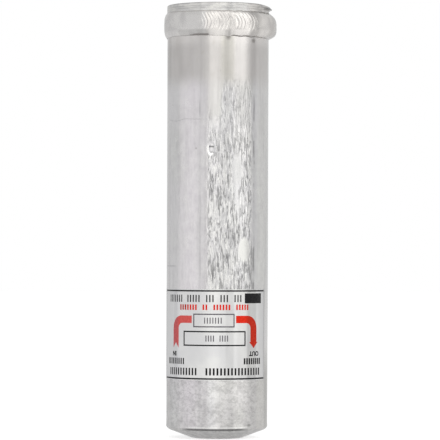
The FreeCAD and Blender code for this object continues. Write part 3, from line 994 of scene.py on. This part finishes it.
def flow_arrow(bm, side, points_out):
    """Flow arrow: level part, round corner, upright part, and a head or a notched tail."""
    near, far, inner = 16.1, 31.0, 26.0
    level_low, level_high = 68.3, 72.6
    low = 57.2 if points_out else 53.7
    tip, notch, barb = 53.6, 3.2, 0.9
    bend = round_corner(far, level_high, 7.4, 8)
    inside = round_corner(inner, level_low, 3.0, 4)
    middle = (inner + far) / 2
    if points_out:
        end = [(far, low), (far + barb, low), (middle, tip), (inner - barb, low), (inner, low)]
    else:
        end = [(far, low), (middle, low + notch), (inner, low)]
    path = [(near, level_high)] + bend + end + inside[::-1] + [(near, level_low)]
    shift = 4.8 if side > 0 else 0.7
    dots = [bm.verts.new((side * (x - shift), y, 0)) for x, y in path]
    face = bm.faces.new(dots)
    face.normal_update()
    bmesh.ops.triangulate(bm, faces=[face])


def tick_row(bm, left, right, low, height, groups, mark):
    """Row of plain upright ticks. A group is its number of ticks, and a mark is one tick's width."""
    gap = 1.6
    pitch = (right - left) / (sum(groups) + gap * (len(groups) - 1))
    at = left + pitch / 2
    for group in groups:
        for _ in range(group):
            bar(bm, at - mark / 2, low, mark, height)
            at += pitch
        at += gap * pitch


def port_word(bm, word, centre):
    """Word that marks a port, upside down as the drier stands here."""
    curve = bpy.data.curves.new("port_word", "FONT")
    curve.body = word
    curve.size = word_height * 1.4
    curve.align_x = "CENTER"
    curve.offset = word_height * 0.06
    holder = bpy.data.objects.new("port_word", curve)
    bpy.context.scene.collection.objects.link(holder)
    bpy.context.view_layer.update()
    mesh = bpy.data.meshes.new_from_object(holder)
    mesh.transform(Matrix.Translation((centre, word_low + word_height, 0)) @ Matrix.Rotation(math.pi, 4, "Z"))
    bm.from_mesh(mesh)
    bpy.data.objects.remove(holder)
    bpy.data.curves.remove(curve)
    bpy.data.meshes.remove(mesh)


def print_pieces(black, red, faded_red, grey):
    bm = bmesh.new()
    left, right = line_left * can_radius, line_right * can_radius
    for low in line_places:
        bar(bm, left, low, right - left, line_width)
    box_line(bm, *lower_box)
    bar(bm, *dark_block)
    for row in black_rows:
        tick_row(bm, *row)
    for word, centre in port_words:
        port_word(bm, word, centre)
    wrapped(bm, "print_black", black, ink_low, ink_high)
    bm = bmesh.new()
    box_line(bm, *upper_box)
    for row in grey_rows:
        tick_row(bm, *row)
    wrapped(bm, "print_grey", grey, ink_low, ink_high)
    bm = bmesh.new()
    flow_arrow(bm, 1, True)
    tick_row(bm, *red_row)
    wrapped(bm, "print_red", red, ink_low, ink_high)
    bm = bmesh.new()
    flow_arrow(bm, -1, False)
    wrapped(bm, "inlet_arrow", faded_red, ink_low, ink_high)


# Pieces inside the can keep their solids' shapes


def inner_finishes():
    tube = Finish("drawn_tube", (0.6, 0.6, 0.61), 0.9, 0.25)
    tube.set("Normal", tube.relief(tube.grain((900, 900, 30)), 0.2, 0.0001))
    rubber = Finish("seal_rubber", (0.02, 0.07, 0.03), 0.0, 0.5)
    rubber.set("Normal", rubber.relief(rubber.grain((900, 900, 900)), 0.2, 0.0001))
    wire = Finish("spring_wire", (0.3, 0.29, 0.28), 0.9, 0.35)
    wire.set("Roughness", wire.fade(wire.grain((400, 400, 400), detail=4.0), 0.3, 0.7, 0.25, 0.5))
    plate = Finish("zinc_plate", (0.45, 0.45, 0.46), 0.9, 0.35)
    spangle = plate.fade(plate.cells((220, 220, 220)), 0.1, 0.9)
    plate.set("Base Color", plate.blend(spangle, (0.38, 0.39, 0.41), (0.52, 0.52, 0.52)))
    gauze = Finish("wire_gauze", (0.36, 0.36, 0.36), 0.9, 0.4)
    weave = gauze.calc("MULTIPLY", gauze.calc("SINE", gauze.calc("MULTIPLY", gauze.x, 6000.0)),
                      gauze.calc("SINE", gauze.calc("MULTIPLY", gauze.y, 6000.0)))
    gauze.set("Normal", gauze.relief(weave, 0.6, 0.0002))
    felt = Finish("felt_pad", (0.66, 0.62, 0.52), 0.0, 0.95)
    fibre = felt.grain((1200, 1200, 300), detail=5.0, rough=0.7)
    felt.set("Base Color", felt.blend(felt.fade(fibre, 0.3, 0.7), (0.55, 0.5, 0.4), (0.74, 0.7, 0.6)))
    felt.set("Normal", felt.relief(fibre, 0.7, 0.0004))
    beads = Finish("desiccant_beads", (0.58, 0.47, 0.32), 0.0, 0.8)
    balls = beads.cells((450, 450, 450))
    # Painted shade in the gaps between the beads, with a bump of the same pattern.
    beads.set("Base Color", beads.blend(beads.fade(balls, 0.1, 0.7), (0.66, 0.55, 0.4), (0.3, 0.22, 0.14)))
    beads.set("Normal", beads.relief(beads.calc("MULTIPLY", balls, -1.0), 0.9, 0.001))
    nylon = Finish("strainer_nylon", (0.72, 0.72, 0.66), 0.0, 0.45)
    nylon.set("Normal", nylon.relief(nylon.grain((500, 500, 500), detail=3.0), 0.15, 0.0001))
    mesh = Finish("strainer_mesh", (0.78, 0.78, 0.72), 0.0, 0.6)
    threads = mesh.calc("ADD", mesh.calc("SINE", mesh.calc("MULTIPLY", mesh.z, 9000.0)),
                       mesh.calc("SINE", mesh.calc("MULTIPLY", mesh.calc("ARCTAN2", mesh.x, mesh.y), 60.0)))
    mesh.set("Normal", mesh.relief(threads, 0.6, 0.0002))
    return {
        "pickup_tube": tube,
        "tube_seal": rubber,
        "bed_spring": wire,
        "inlet_plate": plate,
        "outlet_plate": plate,
        "tube_clip": plate,
        "inlet_screen": gauze,
        "outlet_screen": gauze,
        "inlet_pad": felt,
        "outlet_pad": felt,
        "desiccant_bed": beads,
        "strainer_frame": nylon,
        "strainer_screen": mesh,
    }


for node, finish in inner_finishes().items():
    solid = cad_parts[node]
    solid.data.materials.clear()
    solid.data.materials.append(finish.material)

can_piece(can_finish())
cap_piece(cap_finish())
bead_piece(weld_finish())
foil_piece(foil_finish())
print_pieces(
    ink_finish("label_ink_black", (0.006, 0.006, 0.007), (0.018, 0.018, 0.02)),
    ink_finish("label_ink_red", (0.86, 0.025, 0.008), (0.95, 0.04, 0.014), (0.66, 1.0, 1.2)),
    ink_finish("label_ink_faded_red", (0.82, 0.12, 0.11), (0.90, 0.15, 0.14), (0.78, 1.0, 1.15), 0.80),
    ink_finish("label_ink_grey", (0.12, 0.11, 0.13), (0.2, 0.19, 0.21)))


# Studio, in metres

drier_middle = (0, 0, 0.13)
camera_place = (0.0015, -1.63, 0.109)
camera_aim = (0.0015, 0, 0.1287)
camera_roll = math.radians(0.2)
camera_lens = 225
floor_size = 6.0
floor_glow = 0.6
lamp_watts = 4


def seen_white(tree):
    """1 for the rays that show the background: camera, glossy and transmission rays."""
    rays = tree.nodes.new("ShaderNodeLightPath")
    total = rays.outputs["Is Camera Ray"]
    for name in ("Is Glossy Ray", "Is Transmission Ray"):
        node = tree.nodes.new("ShaderNodeMath")
        node.operation = "ADD"
        node.use_clamp = True
        tree.links.new(total, node.inputs[0])
        tree.links.new(rays.outputs[name], node.inputs[1])
        total = node.outputs[0]
    return total


def world_light(level):
    world = bpy.data.worlds.new("studio")
    bpy.context.scene.world = world
    world.use_nodes = True
    tree = world.node_tree
    output = next(n for n in tree.nodes if n.type == "OUTPUT_WORLD")
    plain = next(n for n in tree.nodes if n.type == "BACKGROUND")
    plain.inputs["Color"].default_value = (1, 1, 1, 1)
    plain.inputs["Strength"].default_value = level
    white = tree.nodes.new("ShaderNodeBackground")
    white.inputs["Color"].default_value = (1, 1, 1, 1)
    white.inputs["Strength"].default_value = 1.0
    mix = tree.nodes.new("ShaderNodeMixShader")
    tree.links.new(seen_white(tree), mix.inputs[0])
    tree.links.new(plain.outputs[0], mix.inputs[1])
    tree.links.new(white.outputs[0], mix.inputs[2])
    tree.links.new(mix.outputs[0], output.inputs["Surface"])


def floor_finish():
    material = bpy.data.materials.new("pale_floor")
    material.use_nodes = True
    tree = material.node_tree
    shader = tree.nodes["Principled BSDF"]
    shader.inputs["Base Color"].default_value = (0.9, 0.9, 0.9, 1)
    shader.inputs["Roughness"].default_value = 0.9
    shader.inputs["Specular IOR Level"].default_value = 0.0
    shader.inputs["Emission Color"].default_value = (1, 1, 1, 1)
    lift = tree.nodes.new("ShaderNodeMath")
    lift.operation = "MULTIPLY"
    lift.inputs[1].default_value = floor_glow
    tree.links.new(seen_white(tree), lift.inputs[0])
    tree.links.new(lift.outputs[0], shader.inputs["Emission Strength"])
    return material


def floor():
    bm = bmesh.new()
    bmesh.ops.create_grid(bm, x_segments=1, y_segments=1, size=floor_size)
    mesh = bpy.data.meshes.new("floor")
    bm.to_mesh(mesh)
    bm.free()
    mesh.materials.append(floor_finish())
    ground = bpy.data.objects.new("floor", mesh)
    bpy.context.scene.collection.objects.link(ground)


def lamp(name, azimuth, distance, height, width, tall, brightness, colour):
    """Area lamp at an azimuth from the front, aimed at the middle of the drier."""
    light = bpy.data.lights.new(name, "AREA")
    light.shape = "RECTANGLE"
    light.size = width
    light.size_y = tall
    light.energy = brightness * width * tall * lamp_watts
    light.color = colour
    holder = bpy.data.objects.new(name, light)
    holder.location = round_axis(distance, math.radians(azimuth), height)
    aim = Vector(drier_middle) - holder.location
    holder.rotation_euler = aim.to_track_quat("-Z", "Y").to_euler()
    holder.visible_camera = False
    bpy.context.scene.collection.objects.link(holder)


def camera():
    data = bpy.data.cameras.new("camera")
    data.lens = camera_lens
    data.sensor_width = 36
    holder = bpy.data.objects.new("camera", data)
    bpy.context.scene.collection.objects.link(holder)
    holder.location = camera_place
    aim = Vector(camera_aim) - holder.location
    turn = aim.to_track_quat("-Z", "Y") @ Matrix.Rotation(camera_roll, 3, "Z").to_quaternion()
    holder.rotation_euler = turn.to_euler()
    bpy.context.scene.camera = holder


world_light(0.5)
floor()
lamp("right_strip", azimuth=53.5, distance=2.2, height=1.2, width=1.45, tall=4.2, brightness=0.86,
     colour=(1, 0.99, 0.965))
lamp("front_strip", azimuth=-7, distance=2.2, height=1.2, width=1.2, tall=4.2, brightness=0.64,
     colour=(1, 0.985, 0.94))
lamp("left_fill", azimuth=-62, distance=2.6, height=0.4, width=2.4, tall=2.4, brightness=0.08,
     colour=(0.96, 0.93, 1))
camera()

bpy.context.scene.view_settings.view_transform = "Standard"
